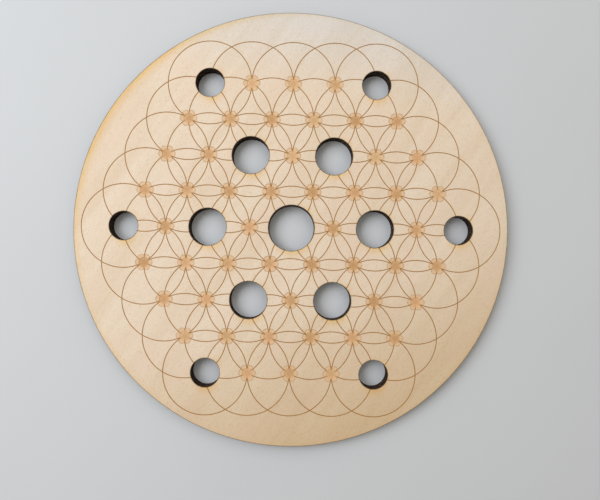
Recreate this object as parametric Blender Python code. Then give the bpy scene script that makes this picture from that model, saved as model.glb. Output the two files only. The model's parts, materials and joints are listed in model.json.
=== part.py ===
"""A round crystal grid board, laser-cut from five-ply plywood.

The board is one flat disc, pierced by round stone seats that sit on a hexagonal
lattice, with a shallow engraved dimple at every lattice point that has no seat.
Plywood is a laminate, so each veneer and each sheet of film glue between two
veneers is its own object. They are stacked along +Z from the underside, which
lies at Z = 0, and the disc's centre is on the Z axis.

Run it in Blender's text editor, or with: blender --background --python part.py
"""

import math

import bmesh
import bpy

# Driving dimensions, in metres.
BOARD_DIAMETER = 0.2032
FACE_VENEER = 0.00092
INNER_VENEER = 0.00120
GLUE_FILM = 0.00010
LAYER_GAP = 0.00002

# The lattice: circles one pitch in radius on its outermost points stop a little inside the rim.
PITCHES_TO_RIM = 5.19
GRID_PITCH = BOARD_DIAMETER / 2 / PITCHES_TO_RIM
GRID_RINGS = 4

# Stone seats: each kind is a ring of through holes along the lattice's six main directions.
CENTRE_SEAT_RADIUS = 0.548 * GRID_PITCH
MIDDLE_SEAT_RADIUS = 0.446 * GRID_PITCH
OUTER_SEAT_RADIUS = 0.342 * GRID_PITCH
MIDDLE_SEAT_RING = 2
OUTER_SEAT_RING = 4

DIMPLE_RADIUS = 0.118 * GRID_PITCH
DIMPLE_DEPTH = 0.00025
DIMPLE_SIDES = 12
CUTTER_RISE = 0.001

LARGEST_CHORD_ERROR = 0.00012
SHARP_ANGLE = math.radians(40)
WELD_DISTANCE = 1e-6

FACE_WOOD = ("face_wood", (0.775, 0.610, 0.445), 0.60)
INNER_WOOD = ("inner_wood", (0.560, 0.400, 0.250), 0.70)
GLUE_RESIN = ("glue_resin", (0.090, 0.045, 0.022), 0.45)

# The stack, from the underside up: name, thickness and material.
LAYERS = (
    ("back_veneer", FACE_VENEER, FACE_WOOD),
    ("back_glue_film", GLUE_FILM, GLUE_RESIN),
    ("lower_crossband", INNER_VENEER, INNER_WOOD),
    ("lower_core_glue_film", GLUE_FILM, GLUE_RESIN),
    ("core_veneer", INNER_VENEER, INNER_WOOD),
    ("upper_core_glue_film", GLUE_FILM, GLUE_RESIN),
    ("upper_crossband", INNER_VENEER, INNER_WOOD),
    ("face_glue_film", GLUE_FILM, GLUE_RESIN),
    ("face_veneer", FACE_VENEER, FACE_WOOD),
)


def clear_scene():
    for obj in list(bpy.data.objects):
        bpy.data.objects.remove(obj)


def new_collection(name):
    collection = bpy.data.collections.new(name)
    bpy.context.scene.collection.children.link(collection)
    return collection


def new_material(name, colour, roughness):
    material = bpy.data.materials.new(name)
    material.use_nodes = True
    shader = material.node_tree.nodes["Principled BSDF"]
    shader.inputs["Base Color"].default_value = (*colour, 1.0)
    shader.inputs["Roughness"].default_value = roughness
    shader.inputs["Metallic"].default_value = 0.0
    return material


def lattice_point(i, j):
    """The place of lattice point (i, j): i steps along +X and j steps 60 degrees round from it."""
    return (GRID_PITCH * (i + j / 2), GRID_PITCH * j * math.sqrt(3) / 2)


def ring_of(i, j):
    """How many lattice steps the point is from the centre."""
    return max(abs(i), abs(j), abs(i + j))


def seat_radius(i, j):
    """The radius of the stone seat at a lattice point, or None where there is no seat."""
    on_main_direction = 0 in (i, j, i + j)
    if ring_of(i, j) == 0:
        return CENTRE_SEAT_RADIUS
    if ring_of(i, j) == MIDDLE_SEAT_RING and on_main_direction:
        return MIDDLE_SEAT_RADIUS
    if ring_of(i, j) == OUTER_SEAT_RING and on_main_direction:
        return OUTER_SEAT_RADIUS
    return None


def lattice():
    """Every (i, j) of the hexagonal lattice."""
    steps = range(-GRID_RINGS, GRID_RINGS + 1)
    return [(i, j) for i in steps for j in steps if ring_of(i, j) <= GRID_RINGS]


def circle_sides(radius):
    """The fewest sides, a multiple of four, that keep a circle within the chord error."""
    half_step = math.acos(1 - LARGEST_CHORD_ERROR / radius)
    return 4 * math.ceil(math.pi / half_step / 4)


def add_circle(curve, centre, radius):
    sides = circle_sides(radius)
    spline = curve.splines.new("POLY")
    spline.points.add(sides - 1)
    for step, point in enumerate(spline.points):
        angle = 2 * math.pi * step / sides
        x = centre[0] + radius * math.cos(angle)
        y = centre[1] + radius * math.sin(angle)
        point.co = (x, y, 0, 1)
    spline.use_cyclic_u = True


def pierced_disc(name, thickness):
    """A disc of the board's outline with every stone seat cut through it, as a mesh object."""
    curve = bpy.data.curves.new(name, "CURVE")
    curve.dimensions = "2D"
    curve.fill_mode = "BOTH"
    curve.extrude = thickness / 2
    add_circle(curve, (0, 0), BOARD_DIAMETER / 2)
    for i, j in lattice():
        radius = seat_radius(i, j)
        if radius:
            add_circle(curve, lattice_point(i, j), radius)

    outline = bpy.data.objects.new(name + "_outline", curve)
    bpy.context.scene.collection.objects.link(outline)
    graph = bpy.context.evaluated_depsgraph_get()
    mesh = bpy.data.meshes.new_from_object(outline.evaluated_get(graph))
    bpy.data.objects.remove(outline)

    bm = bmesh.new()
    bm.from_mesh(mesh)
    bmesh.ops.remove_doubles(bm, verts=bm.verts, dist=WELD_DISTANCE)
    bmesh.ops.recalc_face_normals(bm, faces=bm.faces)
    bm.to_mesh(mesh)
    bm.free()
    mesh.name = name
    mesh.materials.clear()
    mesh.shade_smooth()
    mesh.set_sharp_from_angle(angle=SHARP_ANGLE)
    return bpy.data.objects.new(name, mesh)


def dimple_cutter(top):
    """A short cylinder on every lattice point without a seat, reaching DIMPLE_DEPTH below the top."""
    bm = bmesh.new()
    for i, j in lattice():
        if seat_radius(i, j):
            continue
        made = bmesh.ops.create_cone(
            bm,
            cap_ends=True,
            segments=DIMPLE_SIDES,
            radius1=DIMPLE_RADIUS,
            radius2=DIMPLE_RADIUS,
            depth=DIMPLE_DEPTH + CUTTER_RISE,
        )
        x, y = lattice_point(i, j)
        bmesh.ops.translate(bm, verts=made["verts"], vec=(x, y, (CUTTER_RISE - DIMPLE_DEPTH) / 2))
    mesh = bpy.data.meshes.new("dimple_cutter")
    bm.to_mesh(mesh)
    bm.free()
    cutter = bpy.data.objects.new("dimple_cutter", mesh)
    cutter.location.z = top
    cutter.hide_render = True
    cutter.display_type = "WIRE"
    return cutter


def cut(piece, cutter):
    modifier = piece.modifiers.new("dimples", "BOOLEAN")
    modifier.operation = "DIFFERENCE"
    modifier.solver = "EXACT"
    modifier.object = cutter


def build():
    clear_scene()
    parts = new_collection("crystal_grid_board")
    cutters = new_collection("cutters")
    cutters.hide_render = True
    materials = {}

    bottom = 0.0
    for name, thickness, finish in LAYERS:
        if finish[0] not in materials:
            materials[finish[0]] = new_material(*finish)
        layer = pierced_disc(name, thickness)
        layer.location.z = bottom + thickness / 2
        layer.data.materials.append(materials[finish[0]])
        parts.objects.link(layer)
        top = bottom + thickness
        bottom = top + LAYER_GAP

    cutter = dimple_cutter(top)
    cutters.objects.link(cutter)
    cut(layer, cutter)


build()
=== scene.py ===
"""The looks of the round crystal grid board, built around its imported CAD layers.

The CAD holds nine flat layers: five veneers and the film glue between them. Here each layer
gets a finer mesh in the same place, with the cut edges that a laser leaves. The face veneer
also gets its engraving as real geometry: overlapping circles on a hexagonal lattice, and a
burnt flower at each lattice point that has no hole.
"""

import json
import math

import bpy
import numpy as np
from mathutils import Euler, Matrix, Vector
from mathutils.geometry import delaunay_2d_cdt


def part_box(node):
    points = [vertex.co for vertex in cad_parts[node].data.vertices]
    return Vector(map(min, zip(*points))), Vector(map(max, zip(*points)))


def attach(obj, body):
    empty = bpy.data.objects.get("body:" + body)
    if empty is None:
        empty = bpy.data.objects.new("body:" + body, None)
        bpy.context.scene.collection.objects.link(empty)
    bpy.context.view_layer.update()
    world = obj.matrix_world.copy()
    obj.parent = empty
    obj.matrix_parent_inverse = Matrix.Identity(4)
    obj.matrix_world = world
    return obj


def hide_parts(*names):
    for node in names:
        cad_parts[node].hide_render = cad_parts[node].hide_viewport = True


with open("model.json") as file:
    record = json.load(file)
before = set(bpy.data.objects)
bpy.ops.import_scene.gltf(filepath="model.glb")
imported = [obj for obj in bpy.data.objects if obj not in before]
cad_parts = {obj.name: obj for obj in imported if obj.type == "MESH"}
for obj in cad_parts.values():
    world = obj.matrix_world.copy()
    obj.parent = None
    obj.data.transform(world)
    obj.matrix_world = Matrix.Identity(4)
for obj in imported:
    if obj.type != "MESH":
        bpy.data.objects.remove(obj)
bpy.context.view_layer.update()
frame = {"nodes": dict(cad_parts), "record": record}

# Lengths are in metres. Directions on the board are in degrees, anticlockwise from +X.
MM = 0.001

# The board, from the frame.
FACE_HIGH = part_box("face_veneer")[1]
BOARD_RADIUS = FACE_HIGH.x
BOARD_TOP = FACE_HIGH.z

# The lattice of the engraving: its pitch is also the radius of every engraved circle.
PITCHES_TO_RIM = 5.19
PITCH = BOARD_RADIUS / PITCHES_TO_RIM
RINGS = 4

# Laser line: a groove with sloping sides and a narrow floor.
LINE_WIDTH = 0.48 * MM
LINE_FLOOR = 0.16 * MM
LINE_DEPTH = 0.15 * MM
CIRCLE_SIDES = 96

# Burnt flower at a lattice point: a round core, and six shallow lobes round it. An outline wider
# than 0.68 mm would leave nothing inside it where two lobes meet.
CORE_RADIUS = 0.118 * PITCH
CORE_DEPTH = 0.25 * MM
CORE_SIDES = 36
CORE_FADE = (0.092 * PITCH, 0.142 * PITCH)
LOBE_OFFSET = 0.118 * PITCH
LOBE_RADIUS = 0.094 * PITCH
LOBE_DEPTH = 0.06 * MM
LOBE_SIDES = 72
LOBE_OUTLINE = 0.62 * MM
BURN_SLOPE = 0.14 * MM

# Cut edges: their broken corners, the beam's taper, and the hollow and ripple of the walls. Char
# darkens the face as far as CHAR_REACH, and smoke stains it as far as the last of its steps.
EDGE_CHAMFER = 0.12 * MM
RIM_SIDES = 360
SEAT_SIDES = 96
KERF_TAPER = 0.07 * MM
PLY_HOLLOW_SHARE = 0.03
RIPPLE_HEIGHT = 0.02 * MM
RIPPLE_WAVES = (5, 9, 14, 23, 31)
CHAR_WIDTH = 0.08 * MM
CHAR_REACH = 0.55 * MM
SMOKE_STEPS = (0.25 * MM, CHAR_REACH, 0.9 * MM, 1.4 * MM, 2.1 * MM, 3.3 * MM, 5.0 * MM)

# Smoke drifts below each seat, with a smaller cloud up and to the right; the rim is scorched most
# on its upper left. Each cloud is (direction, spread, strength), with angles in degrees.
SEAT_CLOUDS = ((-80, 50, 0.80), (45, 30, 0.45))
SEAT_HAZE = 0.08
RIM_CLOUDS = ((143, 55, 1.0), (215, 30, 0.45), (330, 35, 0.30))
RIM_HAZE = 0.16

# Smoke reaches a share of the last step that grows with its strength. It fades by a power of depth.
SMOKE_LEAST_REACH = 0.35
SMOKE_FADE = 1.3

SHARP_ANGLE = math.radians(15)
CDT_EPSILON = 1e-7

# A point further than this from a cut's circle can't be in its ripples or its taper.
NEAR_CUT = 1 * MM

GRAIN_DIRECTION = 55
CROSS_GRAIN_DIRECTION = GRAIN_DIRECTION + 90

# Painted light and shade on the face veneer, from so far from the centre up to the rim: its colour
# is painted darker and warmer in one direction as painted shade, and cooler in another as painted
# light.
PAINTED_SHADE_DIRECTION = -70
PAINTED_SHADE_START = 30 * MM
PAINTED_LIGHT_DIRECTION = 80
PAINTED_LIGHT_START = 66 * MM

FINE_SUFFIX = "_fine"


# ---------------------------------------------------------------- the drawing


def lattice():
    """Every lattice point of the engraving."""
    steps = range(-RINGS, RINGS + 1)
    cells = [(i, j) for i in steps for j in steps if abs(i + j) <= RINGS]
    return np.array([(PITCH * (i + j / 2), PITCH * j * math.sqrt(3) / 2) for i, j in cells])


def ring(centre, radius, sides):
    """Points round a circle."""
    angles = np.arange(sides) * 2 * math.pi / sides
    return centre + radius * np.column_stack((np.cos(angles), np.sin(angles)))


def lobed_ring(centre, inset):
    """The outline of the six overlapping lobes of a burnt flower, drawn in by inset."""
    angles = np.arange(LOBE_SIDES) * 2 * math.pi / LOBE_SIDES
    sixth = math.pi / 3
    off_axis = (angles + sixth / 2) % sixth - sixth / 2
    chord = np.sqrt((LOBE_RADIUS - inset) ** 2 - (LOBE_OFFSET * np.sin(off_axis)) ** 2)
    reach = LOBE_OFFSET * np.cos(off_axis) + chord
    return centre + reach[:, None] * np.column_stack((np.cos(angles), np.sin(angles)))


class CutEdge:
    """A circle that the laser cut through every layer: the rim, or one seat.

    A depth is a distance from the cut into the wood, whichever side of the circle the wood is.
    """

    def __init__(self, centre, radius, sides, wood_outside, clouds, haze, seed):
        self.centre = np.array(centre)
        self.radius = radius
        self.sides = sides
        self.sense = 1 if wood_outside else -1
        self.widest = BOARD_TOP if wood_outside else 0
        self.clouds = clouds
        self.haze = haze
        self.phases = np.random.default_rng(seed).uniform(0, 2 * math.pi, len(RIPPLE_WAVES))

    def polar(self, points):
        """Each point's distance and angle from the centre of the cut."""
        offset = points - self.centre
        return np.linalg.norm(offset, axis=1), np.arctan2(offset[:, 1], offset[:, 0])

    def cut_radius(self, angles, height):
        """The wall's radius: the beam came from above, so each cut narrows downwards.

        A seat has its own radius at the top, and the rim at the bottom.
        """
        waves = sum(np.cos(n * angles + p) for n, p in zip(RIPPLE_WAVES, self.phases))
        ripple = RIPPLE_HEIGHT * (1 + waves / len(RIPPLE_WAVES)) / 2
        taper = KERF_TAPER * (height - self.widest) / BOARD_TOP
        return self.radius + self.sense * (taper + ripple)

    def depth_of(self, points, height):
        """How deep in the wood each point is."""
        distance, angles = self.polar(points)
        return self.sense * (distance - self.cut_radius(angles, height))

    def loop(self, depth, height):
        """Points round the cut, at a depth behind its wall."""
        angles = np.arange(self.sides) * 2 * math.pi / self.sides
        radii = self.cut_radius(angles, height) + self.sense * depth
        return self.centre + radii[:, None] * np.column_stack((np.cos(angles), np.sin(angles)))

    def moved_to(self, points, depth, height):
        """The points slid radially to a depth behind the wall at some height."""
        _, angles = self.polar(points)
        radii = self.cut_radius(angles, height) + self.sense * depth
        return self.centre + radii[:, None] * np.column_stack((np.cos(angles), np.sin(angles)))

    def smoke(self, points, height):
        """How stained the surface is, from 0 to 1."""
        _, angles = self.polar(points)
        depth = np.maximum(self.depth_of(points, height), 0)
        strength = np.full(len(points), self.haze)
        for direction, spread, most in self.clouds:
            turn = np.degrees(angles) - direction
            turn = (turn + 180) % 360 - 180
            strength = np.maximum(strength, most * np.exp(-((turn / spread) ** 2)))
        reach_share = SMOKE_LEAST_REACH + (1 - SMOKE_LEAST_REACH) * strength
        reach = SMOKE_STEPS[-1] * reach_share
        return strength * np.clip(1 - depth / reach, 0, 1) ** SMOKE_FADE


def read_cut_edges():
    """The rim, then every seat: centres from the record's openings, radii from the CAD mesh."""
    edges = [CutEdge((0, 0), BOARD_RADIUS, RIM_SIDES, False, RIM_CLOUDS, RIM_HAZE, seed=0)]
    corners = np.array([v.co.xy for v in frame["nodes"]["core_veneer"].data.vertices])
    for number, opening in enumerate(frame["record"]["physics"]["openings"], start=1):
        low, high = np.array(opening["box_m"])
        centre = ((low + high) / 2)[:2]
        radius = np.linalg.norm(corners - centre, axis=1).min()
        seat = CutEdge(centre, radius, SEAT_SIDES, True, SEAT_CLOUDS, SEAT_HAZE, seed=number)
        edges.append(seat)
    return edges


CUT_EDGES = read_cut_edges()
SEATS = CUT_EDGES[1:]
CIRCLES = lattice()


def flower_points():
    """The lattice points that have no seat."""
    seats = np.array([seat.centre for seat in SEATS])
    to_seat = np.linalg.norm(CIRCLES[:, None] - seats[None], axis=2).min(axis=1)
    return CIRCLES[to_seat > PITCH / 2]


FLOWERS = flower_points()


class Drawing:
    """Closed outlines in the plane, collected for one constrained triangulation."""

    def __init__(self):
        self.points = []
        self.edges = []

    def add_loop(self, points, keep=None):
        """A closed polyline, without the edges whose two ends are both unwanted."""
        count = len(points)
        if keep is None:
            keep = np.ones(count, bool)
        start = len(self.points)
        self.points.extend(points)
        for k in range(count):
            following = (k + 1) % count
            if keep[k] or keep[following]:
                self.edges.append((start + k, start + following))

    def triangulated(self, height):
        """Points and triangles of the board's surface at a height, cut along every outline."""
        used = sorted({end for edge in self.edges for end in edge})
        place = {old: new for new, old in enumerate(used)}
        points = [Vector(self.points[old]) for old in used]
        edges = [(place[a], place[b]) for a, b in self.edges]
        found, _, faces, _, _, _ = delaunay_2d_cdt(points, edges, [], 0, CDT_EPSILON, False)
        found = np.array(found)
        faces = np.array(faces)
        return found, faces[on_wood(found[faces].mean(axis=1), height)]


def inside_loop(points, loop):
    """Which points a closed polyline surrounds, by counting the edges to the right of each."""
    start, end = loop, np.roll(loop, -1, axis=0)
    x, y = points[:, None, 0], points[:, None, 1]
    spans = (start[:, 1] > y) != (end[:, 1] > y)
    rise = np.where(end[:, 1] == start[:, 1], 1, end[:, 1] - start[:, 1])
    crossing = start[:, 0] + (y - start[:, 1]) * (end[:, 0] - start[:, 0]) / rise
    return (spans & (crossing > x)).sum(axis=1) % 2 == 1


def on_wood(points, height):
    """Which points lie inside the rim and outside every seat.

    Only those near a cut are compared with its ripples.
    """
    kept = np.ones(len(points), bool)
    for edge in CUT_EDGES:
        distance, _ = edge.polar(points)
        if edge.sense < 0:
            near = distance > edge.radius - NEAR_CUT
            kept[near] &= inside_loop(points[near], edge.loop(0, height))
        else:
            near = distance < edge.radius + NEAR_CUT
            kept[near] &= ~inside_loop(points[near], edge.loop(0, height))
    return kept


def draw_cut_edges(drawing, height, steps):
    """A loop round every cut at each of a few depths."""
    for edge in CUT_EDGES:
        for depth in steps:
            drawing.add_loop(edge.loop(depth, height))


def draw_circles(drawing):
    """Four lines for each engraved circle: the groove's two lips and the two sides of its floor."""
    for centre in CIRCLES:
        for offset in (-LINE_WIDTH / 2, -LINE_FLOOR / 2, LINE_FLOOR / 2, LINE_WIDTH / 2):
            points = ring(centre, PITCH + offset, CIRCLE_SIDES)
            to_flower = np.linalg.norm(points[:, None] - FLOWERS[None], axis=2).min(axis=1)
            keep = to_flower > CORE_RADIUS - BURN_SLOPE
            for seat in SEATS:
                keep &= seat.polar(points)[0] > seat.radius
            drawing.add_loop(points, keep)


def draw_flowers(drawing):
    """The outlines of every core and every set of lobes, with a second line where a slope ends."""
    for centre in FLOWERS:
        for radius in (CORE_RADIUS, CORE_RADIUS - BURN_SLOPE, *CORE_FADE):
            drawing.add_loop(ring(centre, radius, CORE_SIDES))
        for inset in (0, BURN_SLOPE, LOBE_OUTLINE):
            drawing.add_loop(lobed_ring(centre, inset))


# ---------------------------------------------------------------- depth and burn of the engraving


def ramp(value, full, none):
    """1 where value is at full, falling in a straight line to 0 where it is at none."""
    return np.clip((value - none) / (full - none), 0, 1)


def groove_share(points):
    """How far down an engraved line's groove each point is, from 0 at its lip to 1 on its floor."""
    from_centres = np.linalg.norm(points[:, None] - CIRCLES[None], axis=2)
    off_line = np.abs(from_centres - PITCH).min(axis=1)
    return ramp(off_line, LINE_FLOOR / 2, LINE_WIDTH / 2)


def from_flower(points):
    """Each point's offset from the flower nearest to it."""
    to_flowers = np.linalg.norm(points[:, None] - FLOWERS[None], axis=2)
    return points - FLOWERS[to_flowers.argmin(axis=1)]


def depth_in_lobe(offset):
    """How far inside the nearest lobe's outline each offset from a flower is."""
    distance = np.linalg.norm(offset, axis=1)
    sixth = math.pi / 3
    off_axis = (np.arctan2(offset[:, 1], offset[:, 0]) + sixth / 2) % sixth - sixth / 2
    along = distance * np.cos(off_axis) - LOBE_OFFSET
    across = distance * np.sin(off_axis)
    return LOBE_RADIUS - np.hypot(along, across)


def engraving(points):
    """How deep the laser went at each point of the face, and what each kind of burn left there."""
    offset = from_flower(points)
    distance = np.linalg.norm(offset, axis=1)
    in_lobe = depth_in_lobe(offset)
    line = groove_share(points)
    core = ramp(distance, CORE_RADIUS - BURN_SLOPE, CORE_RADIUS)
    lobe = np.maximum(ramp(in_lobe, BURN_SLOPE, 0), core)
    depth = np.max([line * LINE_DEPTH, core * CORE_DEPTH, lobe * LOBE_DEPTH], axis=0)
    burns = {
        "line": line,
        "lobe": lobe,
        "outline": lobe * ramp(in_lobe, BURN_SLOPE, LOBE_OUTLINE),
        "core": ramp(distance, *CORE_FADE),
    }
    return depth, burns


def cut_marks(points, height):
    """How far the chamfers of the cut edges dip at each point, and the smoke and char they left."""
    nearest = np.full(len(points), BOARD_RADIUS)
    smoke = np.zeros(len(points))
    for edge in CUT_EDGES:
        nearest = np.minimum(nearest, edge.depth_of(points, height))
        smoke = np.maximum(smoke, edge.smoke(points, height))
    char = ramp(nearest, CHAR_WIDTH, CHAR_REACH)
    return ramp(nearest, 0, EDGE_CHAMFER) * EDGE_CHAMFER, {"smoke": smoke, "char": char}


# ---------------------------------------------------------------- solids


def boundary_of(faces):
    """The surface's open edges, each running the way its triangle does."""
    ends = np.concatenate([faces[:, [0, 1]], faces[:, [1, 2]], faces[:, [2, 0]]])
    runs = {tuple(pair) for pair in ends.tolist()}
    return np.array([(a, b) for a, b in runs if (b, a) not in runs])


def owners_of(points, height):
    """The number of the cut edge that each boundary point lies on."""
    away = np.array([np.abs(edge.depth_of(points, height)) for edge in CUT_EDGES])
    return away.argmin(axis=0)


def wall_rows(outer, inner):
    """(height, depth behind the cut) of the rows below a surface: its wall is a little hollow."""
    middle = (outer + inner) / 2
    hollow = PLY_HOLLOW_SHARE * abs(outer - inner)
    return ((middle, hollow), (inner, 0.0))


def walls(points, open_edges, outer, inner):
    """The walls below a surface's open edges: the vertices of each row, and all the quads."""
    rim = np.unique(open_edges)
    owners = owners_of(points[rim], outer)
    rows = []
    quads = []
    above = dict(zip(rim.tolist(), rim.tolist()))
    total = len(points)
    for height, depth in wall_rows(outer, inner):
        row = np.full((len(rim), 3), height)
        for number, edge in enumerate(CUT_EDGES):
            mine = owners == number
            row[mine, :2] = edge.moved_to(points[rim[mine]], depth, height)
        rows.append(row)
        below = {old: total + k for k, old in enumerate(rim.tolist())}
        quads.extend((above[b], above[a], below[a], below[b]) for a, b in open_edges.tolist())
        above = below
        total += len(rim)
    return rows, quads


def cap(corners, open_edges, height):
    """Triangles between the corners of the walls' last row, facing away from the surface."""
    order = {old: k for k, old in enumerate(np.unique(open_edges).tolist())}
    edges = [(order[a], order[b]) for a, b in open_edges.tolist()]
    points = [Vector(corner) for corner in corners]
    _, _, faces, origins, _, _ = delaunay_2d_cdt(points, edges, [], 0, CDT_EPSILON, True)
    origins = np.array([group[0] for group in origins])
    faces = origins[np.array(faces)]
    faces = faces[on_wood(corners[faces].mean(axis=1), height)]
    return faces[:, ::-1]


def layer_solid(points, faces, heights, outer, inner):
    """A closed solid under a surface: its walls, and a flat cap at the inner height.

    Returns the vertices and the faces, then the numbers of the first wall and the first cap face.
    """
    open_edges = boundary_of(faces)
    rows, quads = walls(points, open_edges, outer, inner)
    vertices = np.concatenate([np.column_stack((points, heights)), *rows])
    cap_start = len(vertices) - len(rows[-1])
    triangles = cap(rows[-1][:, :2], open_edges, inner) + cap_start
    polygons = faces.tolist() + quads + triangles.tolist()
    return vertices, polygons, len(faces), len(faces) + len(quads)


def add_attribute(mesh, name, values):
    """A number at each vertex for the shaders to read; it is 0 past the end of the values."""
    full = np.zeros(len(mesh.vertices), np.float32)
    full[: len(values)] = values
    mesh.attributes.new(name, "FLOAT", "POINT").data.foreach_set("value", full)


def make_piece(node, points, faces, heights, outer, inner, materials, marks):
    """A finer layer in the place of a CAD node: materials are for its flats and for its walls."""
    vertices, polygons, wall_start, cap_start = layer_solid(points, faces, heights, outer, inner)
    if outer < inner:
        polygons = [tuple(reversed(polygon)) for polygon in polygons]
    mesh = bpy.data.meshes.new(node + FINE_SUFFIX)
    mesh.from_pydata(vertices.tolist(), [], polygons)
    for material in materials:
        mesh.materials.append(material)
    slots = np.zeros(len(polygons), np.int32)
    slots[wall_start:cap_start] = 1
    mesh.polygons.foreach_set("material_index", slots)
    for name, values in marks.items():
        add_attribute(mesh, name, values)
    mesh.shade_smooth()
    mesh.set_sharp_from_angle(angle=SHARP_ANGLE)
    mesh.update()
    piece = bpy.data.objects.new(node + FINE_SUFFIX, mesh)
    bpy.context.scene.collection.objects.link(piece)
    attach(piece, "root")
    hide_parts(node)
    return piece


def engraved_layer(node, materials):
    """The face veneer: chamfered cuts, smoke stains, engraved circles and burnt flowers."""
    low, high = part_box(node)
    drawing = Drawing()
    draw_cut_edges(drawing, high.z, (0, EDGE_CHAMFER, *SMOKE_STEPS))
    draw_circles(drawing)
    draw_flowers(drawing)
    points, faces = drawing.triangulated(high.z)
    depth, burns = engraving(points)
    chamfer, stains = cut_marks(points, high.z)
    heights = high.z - np.maximum(depth, chamfer)
    marks = {**burns, **stains}
    return make_piece(node, points, faces, heights, high.z, low.z, materials, marks)


def under_layer(node, materials):
    """The back veneer, seen from below: chamfered cuts and the smoke stains round them."""
    low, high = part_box(node)
    drawing = Drawing()
    draw_cut_edges(drawing, low.z, (0, EDGE_CHAMFER, *SMOKE_STEPS))
    points, faces = drawing.triangulated(low.z)
    chamfer, stains = cut_marks(points, low.z)
    return make_piece(node, points, faces, low.z + chamfer, low.z, high.z, materials, stains)


def inner_layer(node, materials):
    """A layer of which only the cut edge shows."""
    low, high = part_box(node)
    drawing = Drawing()
    draw_cut_edges(drawing, high.z, (0,))
    points, faces = drawing.triangulated(high.z)
    heights = np.full(len(points), high.z)
    return make_piece(node, points, faces, heights, high.z, low.z, materials, {})


# ---------------------------------------------------------------- materials


class Shader:
    """A Principled material, with short calls for the nodes that feed it."""

    def __init__(self, name, roughness, specular):
        self.material = bpy.data.materials.new(name)
        self.material.use_nodes = True
        self.tree = self.material.node_tree
        self.surface = self.tree.nodes["Principled BSDF"]
        self.surface.inputs["Roughness"].default_value = roughness
        self.surface.inputs["Specular IOR Level"].default_value = specular
        coordinates = self.tree.nodes.new("ShaderNodeTexCoord")
        self.place = coordinates.outputs["Object"]

    def put(self, socket, value):
        """Links a socket to another, or sets it to a plain value."""
        if isinstance(value, bpy.types.NodeSocket):
            self.tree.links.new(value, socket)
        else:
            socket.default_value = value

    def math(self, operation, a, b, clamp=False):
        node = self.tree.nodes.new("ShaderNodeMath")
        node.operation = operation
        node.use_clamp = clamp
        self.put(node.inputs[0], a)
        self.put(node.inputs[1], b)
        return node.outputs[0]

    def attribute(self, name):
        node = self.tree.nodes.new("ShaderNodeAttribute")
        node.attribute_name = name
        return node.outputs["Fac"]

    def stretched(self, direction, along, across):
        """Coordinates turned to run along a direction in degrees, with that many cycles a metre."""
        turned = self.tree.nodes.new("ShaderNodeMapping")
        turned.inputs["Rotation"].default_value = (0, 0, -math.radians(direction))
        self.put(turned.inputs["Vector"], self.place)
        scaled = self.tree.nodes.new("ShaderNodeMapping")
        scaled.inputs["Scale"].default_value = (along, across, across)
        self.put(scaled.inputs["Vector"], turned.outputs["Vector"])
        return scaled.outputs["Vector"]

    def from_axis(self):
        """The distance from the board's own axis."""
        flat = self.tree.nodes.new("ShaderNodeMapping")
        flat.inputs["Scale"].default_value = (1, 1, 0)
        self.put(flat.inputs["Vector"], self.place)
        length = self.tree.nodes.new("ShaderNodeVectorMath")
        length.operation = "LENGTH"
        self.put(length.inputs[0], flat.outputs["Vector"])
        return length.outputs["Value"]

    def noise(self, vector, detail, roughness, distortion=0.0):
        node = self.tree.nodes.new("ShaderNodeTexNoise")
        node.inputs["Scale"].default_value = 1.0
        node.inputs["Detail"].default_value = detail
        node.inputs["Roughness"].default_value = roughness
        node.inputs["Distortion"].default_value = distortion
        self.put(node.inputs["Vector"], vector)
        return node.outputs["Fac"]

    def remap(self, value, low, high, to_low=0.0, to_high=1.0):
        node = self.tree.nodes.new("ShaderNodeMapRange")
        self.put(node.inputs["Value"], value)
        node.inputs["From Min"].default_value = low
        node.inputs["From Max"].default_value = high
        node.inputs["To Min"].default_value = to_low
        node.inputs["To Max"].default_value = to_high
        return node.outputs["Result"]

    def mix(self, share, a, b, blend="MIX"):
        node = self.tree.nodes.new("ShaderNodeMix")
        node.data_type = "RGBA"
        node.blend_type = blend
        colours = [socket for socket in node.inputs if socket.type == "RGBA"]
        self.put(node.inputs[0], share)
        for socket, value in zip(colours, (a, b)):
            self.put(socket, (*value, 1.0) if isinstance(value, tuple) else value)
        return next(socket for socket in node.outputs if socket.type == "RGBA")

    def bump(self, height, distance, before=None):
        node = self.tree.nodes.new("ShaderNodeBump")
        node.inputs["Distance"].default_value = distance
        self.put(node.inputs["Height"], height)
        if before is not None:
            self.put(node.inputs["Normal"], before)
        return node.outputs["Normal"]

    def finish(self, colour, normal):
        self.put(self.surface.inputs["Base Color"], colour)
        self.put(self.surface.inputs["Normal"], normal)
        return self.material


WOOD_PALE = (0.825, 0.685, 0.540)
WOOD_TAN = (0.750, 0.590, 0.430)
WOOD_PINK = (0.815, 0.630, 0.500)
PORE_TAN = (0.560, 0.400, 0.250)
# Painted shade and painted cool light, multiplied into the face veneer's colour.
PAINTED_SHADE_TINT = (0.82, 0.73, 0.58)
PAINTED_LIGHT_TINT = (0.88, 1.00, 1.20)
SMOKE_TINT = (0.97, 0.78, 0.38)
LINE_BROWN = (0.480, 0.245, 0.050)
LINE_DEEP = (0.350, 0.155, 0.018)
CORE_ORANGE = (0.770, 0.440, 0.235)
CORE_TAN = (0.725, 0.468, 0.250)
CORE_BROWN = (0.578, 0.330, 0.150)
LOBE_TAN = (0.745, 0.475, 0.258)
OUTLINE_TAN = (0.545, 0.345, 0.200)
CHAR_BROWN = (0.060, 0.026, 0.010)

# Each cut edge's darkest and palest colour, and how much painted shade darkens the seats' walls.
CHAR_LONG = (0.018, 0.007, 0.0025), (0.210, 0.105, 0.042)
CHAR_CROSS = (0.010, 0.004, 0.0015), (0.100, 0.046, 0.018)
CHAR_GLUE = (0.004, 0.002, 0.001), (0.022, 0.011, 0.006)
SEAT_PAINTED_SHADE = 0.80

GLUE_DARK = (0.070, 0.034, 0.016)
GLUE_PALE = (0.120, 0.062, 0.030)

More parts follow.
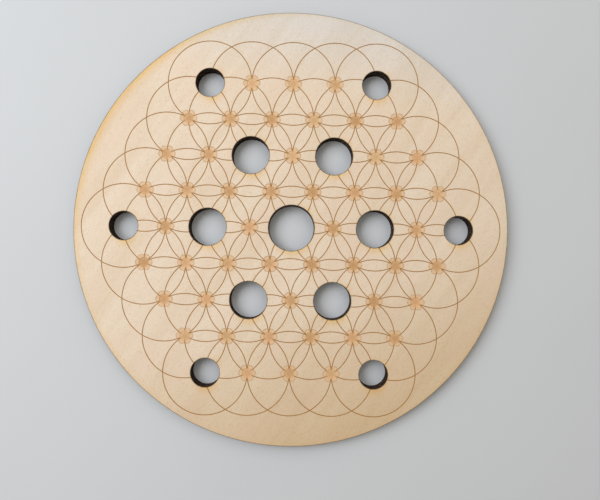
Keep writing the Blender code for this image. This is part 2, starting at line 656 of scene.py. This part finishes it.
# The most that each part of the bare wood's pattern shows.
BLUSH_SHARE = 0.60
STREAK_SHARE = 0.30
PORE_SHARE = 0.52

# How strongly the laser burnt, at the least and at the most burnt places.
LOBE_BURN = (0.55, 0.95)
OUTLINE_BURN = (0.35, 0.95)
CORE_BURN = (0.75, 1.20)
LINE_BURN = (0.85, 1.00)

# An outline or a line reaches its full burn part of the way down its slope.
OUTLINE_GAIN = 1.8
LINE_GAIN = 2.5
LINE_IN_CORE = 0.2

# Smoke and char cling unevenly, and char fades by a power of its depth.
CLINGING = (0.7, 1.3)
CHAR_FADE = 2.2

# The beam's pulses, in cycles a metre across the cut edges and down them, and the share of soot
# that hides them in patches.
PULSE_CYCLES = (2600, 2600, 60)
PATCH_SOOT = 0.75


def bare_wood(shader, direction):
    """Pale close-grained veneer: soft bands of figure, fine fibres and short pores.

    Returns its colour and its fibres, which also make the bump.
    """
    bands = shader.stretched(direction, along=16, across=120)
    figure = shader.noise(bands, detail=3.0, roughness=0.55, distortion=0.6)
    colour = shader.mix(shader.remap(figure, 0.30, 0.72), WOOD_PALE, WOOD_TAN)

    clouds = shader.stretched(direction, along=45, across=110)
    blush = shader.noise(clouds, detail=2.0, roughness=0.5)
    colour = shader.mix(shader.remap(blush, 0.45, 0.75, 0.0, BLUSH_SHARE), colour, WOOD_PINK)

    threads = shader.stretched(direction, along=90, across=2400)
    fibres = shader.noise(threads, detail=3.0, roughness=0.6)
    colour = shader.mix(shader.remap(fibres, 0.35, 0.75, 0.0, STREAK_SHARE), colour, WOOD_TAN)

    flecks = shader.stretched(direction, along=700, across=3800)
    pores = shader.noise(flecks, detail=1.0, roughness=0.4)
    colour = shader.mix(shader.remap(pores, 0.56, 0.74, 0.0, PORE_SHARE), colour, PORE_TAN)
    return colour, fibres


def painted_light_and_shade(shader, colour, direction, start, tint):
    """Painted light and shade: the wood's colour, tinted from a start to the rim on one side."""
    place = shader.tree.nodes.new("ShaderNodeSeparateXYZ")
    shader.put(place.inputs["Vector"], shader.stretched(direction, along=1, across=1))
    share = shader.remap(place.outputs["X"], start, BOARD_RADIUS)
    return shader.mix(share, colour, tint, "MULTIPLY")


def stained(shader, colour):
    """The wood's colour under uneven wisps of laser smoke, and charred beside the cuts."""
    trails = shader.stretched(GRAIN_DIRECTION, along=350, across=900)
    wisps = shader.noise(trails, detail=3.0, roughness=0.6)
    clinging = shader.remap(wisps, 0.2, 0.7, *CLINGING)
    smoke = shader.math("MULTIPLY", shader.attribute("smoke"), clinging, clamp=True)
    colour = shader.mix(smoke, colour, SMOKE_TINT, "MULTIPLY")
    char = shader.math("POWER", shader.attribute("char"), CHAR_FADE)
    char = shader.math("MULTIPLY", char, clinging, clamp=True)
    return shader.mix(char, colour, CHAR_BROWN)


def patchy(shader, burn, uneven, strengths):
    """A burn that is stronger in some places than in others."""
    strength = shader.remap(uneven, 0.3, 0.7, *strengths)
    return shader.math("MULTIPLY", burn, strength, clamp=True)


def core_colour(shader):
    """The colour of the cores: some are more orange, and some browner."""
    redness = shader.noise(shader.stretched(70, along=85, across=85), detail=1.0, roughness=0.5)
    colour = shader.mix(shader.remap(redness, 0.42, 0.58), CORE_TAN, CORE_ORANGE)
    browning = shader.noise(shader.stretched(0, along=62, across=62), detail=1.0, roughness=0.5)
    return shader.mix(shader.remap(browning, 0.38, 0.62), colour, CORE_BROWN)


def flower_burns(shader, colour, uneven):
    """The burnt flowers: tan lobes with a darker outline, and a soft-edged core."""
    lobe = patchy(shader, shader.attribute("lobe"), uneven, LOBE_BURN)
    colour = shader.mix(lobe, colour, LOBE_TAN)
    outline = shader.math("MULTIPLY", shader.attribute("outline"), OUTLINE_GAIN, clamp=True)
    outline = patchy(shader, outline, uneven, OUTLINE_BURN)
    colour = shader.mix(outline, colour, OUTLINE_TAN)
    core = patchy(shader, shader.attribute("core"), uneven, CORE_BURN)
    return shader.mix(core, colour, core_colour(shader))


def line_burns(shader, colour, uneven):
    """The engraved circles: brown grooves that run into the cores of the flowers."""
    line = shader.math("MULTIPLY", shader.attribute("line"), LINE_GAIN, clamp=True)
    line = patchy(shader, line, uneven, LINE_BURN)
    outside_core = shader.remap(shader.attribute("core"), 0.0, 1.0, 1.0, LINE_IN_CORE)
    line = shader.math("MULTIPLY", line, outside_core)
    brown = shader.mix(shader.attribute("line"), LINE_BROWN, LINE_DEEP)
    return shader.mix(line, colour, brown)


def engraved_wood():
    """The face: bare wood with painted light and shade, then everything that the laser burnt into
    it.
    """
    shader = Shader("engraved_face_wood", roughness=0.62, specular=0.30)
    colour, fibres = bare_wood(shader, GRAIN_DIRECTION)
    # Painted shade, darker and warmer towards one side, and painted cool light towards the other.
    colour = painted_light_and_shade(shader, colour, PAINTED_SHADE_DIRECTION, PAINTED_SHADE_START, PAINTED_SHADE_TINT)
    colour = painted_light_and_shade(shader, colour, PAINTED_LIGHT_DIRECTION, PAINTED_LIGHT_START, PAINTED_LIGHT_TINT)
    specks = shader.stretched(0, along=900, across=900)
    uneven = shader.noise(specks, detail=3.0, roughness=0.6)
    colour = flower_burns(shader, colour, uneven)
    colour = line_burns(shader, colour, uneven)
    colour = stained(shader, colour)
    grain = shader.bump(fibres, distance=0.03 * MM)
    rows = shader.stretched(0, along=300, across=6000)
    passes = shader.noise(rows, detail=1.0, roughness=0.4)
    scanned = shader.math("MULTIPLY", shader.attribute("lobe"), passes)
    return shader.finish(colour, shader.bump(scanned, distance=0.08 * MM, before=grain))


def under_wood():
    """The underside: the same veneer, unengraved, with smoke round the cuts."""
    shader = Shader("underside_wood", roughness=0.66, specular=0.28)
    colour, fibres = bare_wood(shader, GRAIN_DIRECTION)
    return shader.finish(stained(shader, colour), shader.bump(fibres, distance=0.04 * MM))


def hidden_wood(name, direction):
    """The flats of an inner veneer, which only its edges give away."""
    shader = Shader(name, roughness=0.75, specular=0.25)
    colour, fibres = bare_wood(shader, direction)
    return shader.finish(colour, shader.bump(fibres, distance=0.05 * MM))


def charred(name, darkest, palest, direction):
    """A laser-cut edge: brown-black char, streaked up and down where the beam pulsed.

    The seats' walls are painted darker than the rim's, as painted shade inside the holes.
    """
    shader = Shader(name, roughness=0.80, specular=0.15)
    streaks = shader.tree.nodes.new("ShaderNodeMapping")
    streaks.inputs["Scale"].default_value = PULSE_CYCLES
    shader.put(streaks.inputs["Vector"], shader.place)
    pulses = shader.noise(streaks.outputs["Vector"], detail=2.0, roughness=0.55)
    blotches = shader.stretched(direction, along=180, across=420)
    patches = shader.noise(blotches, detail=3.0, roughness=0.6)
    colour = shader.mix(shader.remap(pulses, 0.30, 0.72), darkest, palest)
    colour = shader.mix(shader.remap(patches, 0.35, 0.75, 0.0, PATCH_SOOT), colour, darkest)
    # Painted shade: the seats' walls are darkened towards the darkest char.
    in_seat = shader.math("LESS_THAN", shader.from_axis(), BOARD_RADIUS - NEAR_CUT)
    colour = shader.mix(shader.math("MULTIPLY", in_seat, SEAT_PAINTED_SHADE), colour, darkest)
    return shader.finish(colour, shader.bump(pulses, distance=0.06 * MM))


def glue_film():
    """The flats of a cured resin sheet."""
    shader = Shader("glue_film", roughness=0.45, specular=0.40)
    mottle = shader.noise(shader.stretched(0, along=300, across=300), detail=2.0, roughness=0.5)
    colour = shader.mix(mottle, GLUE_DARK, GLUE_PALE)
    return shader.finish(colour, shader.bump(mottle, distance=0.02 * MM))


# ---------------------------------------------------------------- the board


def build_board():
    """Every layer of the board, in the materials of its flats and of its cut edges."""
    char_face = charred("charred_face_edge", *CHAR_LONG, GRAIN_DIRECTION)
    char_cross = charred("charred_cross_edge", *CHAR_CROSS, CROSS_GRAIN_DIRECTION)
    char_glue = charred("charred_glue_edge", *CHAR_GLUE, 0)
    along = hidden_wood("long_grain_wood", GRAIN_DIRECTION)
    across = hidden_wood("cross_grain_wood", CROSS_GRAIN_DIRECTION)
    resin = glue_film()

    pieces = {
        "face_veneer": engraved_layer("face_veneer", (engraved_wood(), char_face)),
        "back_veneer": under_layer("back_veneer", (under_wood(), char_face)),
    }
    for node in frame["nodes"]:
        if "glue_film" in node:
            pieces[node] = inner_layer(node, (resin, char_glue))
        elif "crossband" in node:
            pieces[node] = inner_layer(node, (across, char_cross))
        elif "core" in node:
            pieces[node] = inner_layer(node, (along, char_face))


# ---------------------------------------------------------------- the studio

FLOOR_SIZE = 12.0
FLOOR_DROP = 0.1 * MM
FLOOR_GREY = (0.60, 0.61, 0.63)
FLOOR_PALE = (0.63, 0.64, 0.66)

# Square area lights aimed at the board's centre: name, place, power in watts and colour.
LIGHT_SIZE = 0.50
LIGHTS = (
    ("left_window", (-0.50, 0.12, 0.60), 4.00, (0.89, 0.94, 1.0)),
    ("top_window", (-0.02, 0.50, 0.60), 1.52, (0.94, 0.97, 1.0)),
    ("right_lamp", (0.50, 0.12, 0.60), 0.34, (1.0, 0.97, 0.88)),
)
SURROUND_COLOUR = (1.0, 0.94, 0.82)
SURROUND_STRENGTH = 0.39

# The camera's turn is in degrees, and its lens and sensor are in millimetres.
CAMERA_PLACE = (2.5 * MM, -13.7 * MM, 217.8 * MM)
CAMERA_TURN = (0.93, -0.47, 0.85)
CAMERA_LENS = 27.2
CAMERA_SENSOR = 36
CAMERA_CLIP_START = 10 * MM


def add_floor():
    """A pale floor just under the board."""
    bpy.ops.mesh.primitive_plane_add(size=FLOOR_SIZE, location=(0, 0, -FLOOR_DROP))
    floor = bpy.context.object
    floor.name = "studio_floor"
    shader = Shader("studio_floor", roughness=0.85, specular=0.20)
    cloud = shader.noise(shader.stretched(0, along=12, across=12), detail=2.0, roughness=0.5)
    colour = shader.mix(cloud, FLOOR_GREY, FLOOR_PALE)
    floor.data.materials.append(shader.finish(colour, shader.bump(cloud, distance=0.1 * MM)))


def add_light(name, place, power, colour):
    """A square area light aimed at the board's centre."""
    data = bpy.data.lights.new(name, "AREA")
    data.shape = "SQUARE"
    data.size = LIGHT_SIZE
    data.energy = power
    data.color = colour
    light = bpy.data.objects.new(name, data)
    light.location = place
    light.rotation_euler = (-Vector(place)).to_track_quat("-Z", "Y").to_euler()
    bpy.context.scene.collection.objects.link(light)


def add_lights():
    """Soft lights to the left, above and to the right, and a dim, warm surround."""
    for light in LIGHTS:
        add_light(*light)
    world = bpy.data.worlds.new("studio")
    world.use_nodes = True
    background = world.node_tree.nodes["Background"]
    background.inputs["Color"].default_value = (*SURROUND_COLOUR, 1.0)
    background.inputs["Strength"].default_value = SURROUND_STRENGTH
    bpy.context.scene.world = world


def add_camera():
    """A camera over the board, looking almost straight down."""
    data = bpy.data.cameras.new("camera")
    data.lens = CAMERA_LENS
    data.sensor_width = CAMERA_SENSOR
    data.clip_start = CAMERA_CLIP_START
    camera = bpy.data.objects.new("camera", data)
    camera.location = CAMERA_PLACE
    camera.rotation_euler = Euler([math.radians(turn) for turn in CAMERA_TURN])
    bpy.context.scene.collection.objects.link(camera)
    bpy.context.scene.camera = camera


build_board()
add_floor()
add_lights()
add_camera()
bpy.context.scene.view_settings.view_transform = "Standard"
